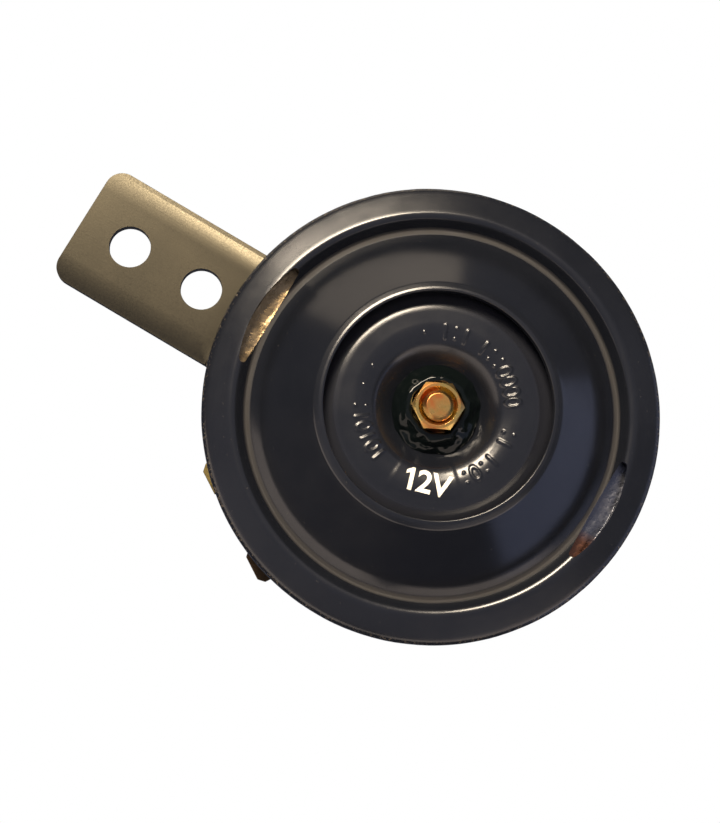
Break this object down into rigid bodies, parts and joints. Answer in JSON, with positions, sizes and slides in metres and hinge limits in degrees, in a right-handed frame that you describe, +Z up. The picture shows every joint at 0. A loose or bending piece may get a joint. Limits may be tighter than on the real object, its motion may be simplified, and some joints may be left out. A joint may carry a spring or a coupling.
{
  "type": "car horn",
  "caption": "Round disc horn: a black dished steel case round a tone disc and an electromagnet, on an upright bracket with bolt holes.",
  "frame": {"origin": "midway between the bracket's two bolt holes, on the bracket's rear face", "axes": "-Y is the way the sound comes out, along the horn's axis; +Z is up along the bracket; the horn's axis is 51 mm below the origin"},
  "size_m": [0.075, 0.0402, 0.1047],
  "materials": {
    "case_paint": "gloss black baked enamel",
    "bracket_steel": "satin dark grey-brown zinc phosphate and clear coat",
    "yellow_zinc": "yellow chromated zinc plate",
    "bright_zinc": "bright zinc plate",
    "diaphragm_steel": "thin bright rolled spring steel",
    "lacquer": "dark green-black sealing lacquer",
    "gasket_paper": "fibre gasket",
    "core_iron": "turned soft iron",
    "copper_wire": "enamelled copper wire",
    "nylon": "natural nylon",
    "bakelite": "brown phenolic",
    "spring_bronze": "rolled phosphor bronze",
    "contact_silver": "silver contact alloy",
    "brass": "rolled brass"
  },
  "bodies": {
    "horn": {"adjusting_bush": "bright_zinc", "adjusting_pin": "nylon", "adjusting_screw": "bright_zinc", "bobbin": "nylon", "contact_arm": "bright_zinc", "contact_holder": "nylon", "contact_spacer": "bakelite", "contact_strap": "brass", "core": "bright_zinc", "diaphragm": "diaphragm_steel", "fixed_contact": "contact_silver", "front_cover": "case_paint", "front_gasket": "gasket_paper", "holder_rivet": "bright_zinc", "housing": "case_paint", "inner_insulator": "bakelite", "lock_nut": "bright_zinc", "mounting_bracket": "bracket_steel", "outer_insulator": "bakelite", "rear_gasket": "gasket_paper", "rear_nut": "bright_zinc", "rear_washer": "bright_zinc", "spring_washer": "bright_zinc", "terminal_1": "brass", "terminal_2": "brass", "terminal_rivet_1": "brass", "terminal_rivet_2": "brass", "winding": "copper_wire"},
    "armature_set": {"armature": "core_iron", "armature_stud": "yellow_zinc", "stud_spacer": "bright_zinc", "tone_disc": "case_paint", "front_washer": "yellow_zinc", "front_nut": "yellow_zinc", "sealing_lacquer": "lacquer"},
    "leaf_set": {"contact_leaf": "spring_bronze", "moving_contact": "contact_silver", "leaf_button": "nylon"}
  },
  "joints": [
    {"name": "armature_slide", "type": "slide", "parent": "horn", "child": "armature_set", "axis": [0, 1, 0], "range_m": [0, 0.0005], "stiffness_N_per_m": 40000, "deforming": ["diaphragm"]},
    {"name": "leaf_bend", "type": "hinge", "parent": "horn", "child": "leaf_set", "pos_m": [-0.01933, -0.00885, -0.05357], "axis": [-0.1317, 0, 0.9913], "range_deg": [0, 3.5], "deforming": ["contact_leaf"]}
  ],
  "couplings": [
    {"joint": "leaf_bend", "follows": "armature_slide", "rad_per_m": 112.36}
  ]
}
